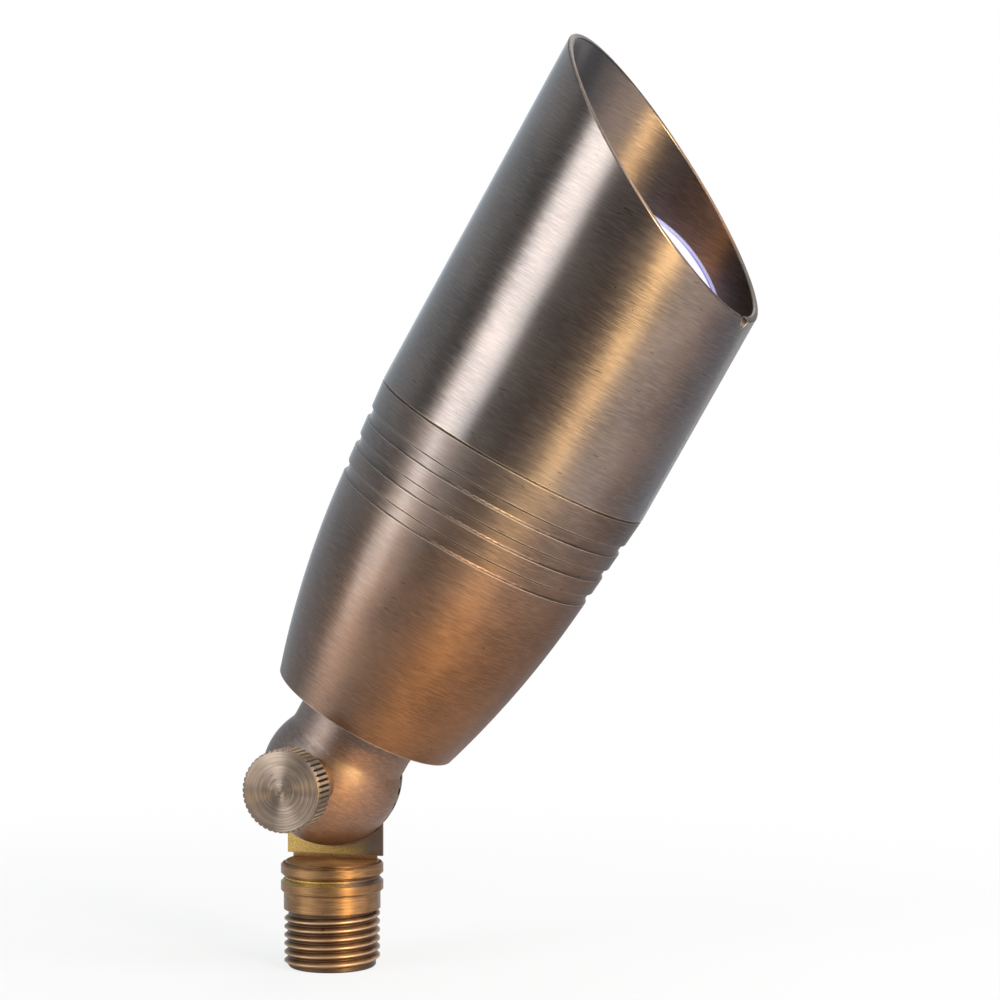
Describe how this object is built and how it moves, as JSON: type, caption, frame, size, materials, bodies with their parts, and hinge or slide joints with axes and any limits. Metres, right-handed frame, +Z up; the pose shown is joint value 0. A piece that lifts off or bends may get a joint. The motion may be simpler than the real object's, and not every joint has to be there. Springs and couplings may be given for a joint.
{
  "type": "landscape spotlight",
  "caption": "Aged brass bullet spotlight with a slant-cut shroud, domed lens, grooved tapered body and a tilting knuckle clamped by a knurled thumb screw, on a threaded pipe stem.",
  "frame": {"origin": "on the stem's axis, at the collar's lower shoulder, where the stem seats on a stake or junction box", "axes": "+Z up along the stem, +X the way the head leans at rest, -Y the thumb screw's side"},
  "size_m": [0.1068, 0.0622, 0.1981],
  "materials": {
    "aged_brass": "antique bronze patina, circumferentially brushed",
    "knob_brass": "lightly aged, turned face",
    "stem_brass": "yellow brass, machined",
    "lens_glass": "clear domed glass, white in the lamp's light",
    "black_rubber": "matt black seal rubber",
    "white_silicone": "translucent white silicone",
    "steel": "zinc plated",
    "lamp_aluminium": "cast, satin",
    "lamp_optic": "frosted lamp face",
    "board": "white solder mask",
    "ceramic": null,
    "lead_insulation": "silicone insulation"
  },
  "bodies": {
    "stem": {"stem": "stem_brass", "knuckle_seal": "black_rubber"},
    "clamp_washer": {"thumb_washer": "stem_brass"},
    "thumb_screw": {"thumb_screw": "knob_brass"},
    "head": {"upper_knuckle": "aged_brass", "body": "aged_brass", "neck_gasket": "black_rubber", "lock_washer": "steel", "neck_locknut": "stem_brass", "wire_seal": "white_silicone", "lamp_housing": "lamp_aluminium", "lamp_optic": "lamp_optic", "lamp_led_board": "board", "lamp_pins": "steel", "socket_body": "ceramic", "socket_contacts": "stem_brass", "socket_screws": "steel", "socket_bracket": "steel", "socket_leads": "lead_insulation"},
    "shroud_seals": {"o_ring_rear": "black_rubber", "o_ring_front": "black_rubber"},
    "shroud": {"shroud": "aged_brass", "lens_gasket": "white_silicone", "lens": "lens_glass", "lens_bead": "white_silicone"}
  },
  "joints": [
    {"name": "head_tilt", "type": "hinge", "parent": "stem", "child": "head", "pos_m": [0, 0, 0.0249], "axis": [0, 1, 0], "range_deg": [-115, 55]},
    {"name": "shroud_turn", "type": "hinge", "parent": "head", "child": "shroud_seals", "pos_m": [0, 0, 0.0249], "axis": [0.5015, 0, 0.8652], "continuous": true},
    {"name": "shroud_slide", "type": "slide", "parent": "shroud_seals", "child": "shroud", "axis": [0.5015, 0, 0.8652], "range_m": [0, 0.014]},
    {"name": "thumb_screw_travel", "type": "slide", "parent": "stem", "child": "clamp_washer", "axis": [0, -1, 0], "range_m": [0, 0.003]},
    {"name": "thumb_screw_turn", "type": "hinge", "parent": "clamp_washer", "child": "thumb_screw", "pos_m": [0, 0, 0.0249], "axis": [0, -1, 0], "range_deg": [0, 1080]}
  ],
  "couplings": [
    {"joint": "thumb_screw_turn", "follows": "thumb_screw_travel", "rad_per_m": 6283.2}
  ]
}
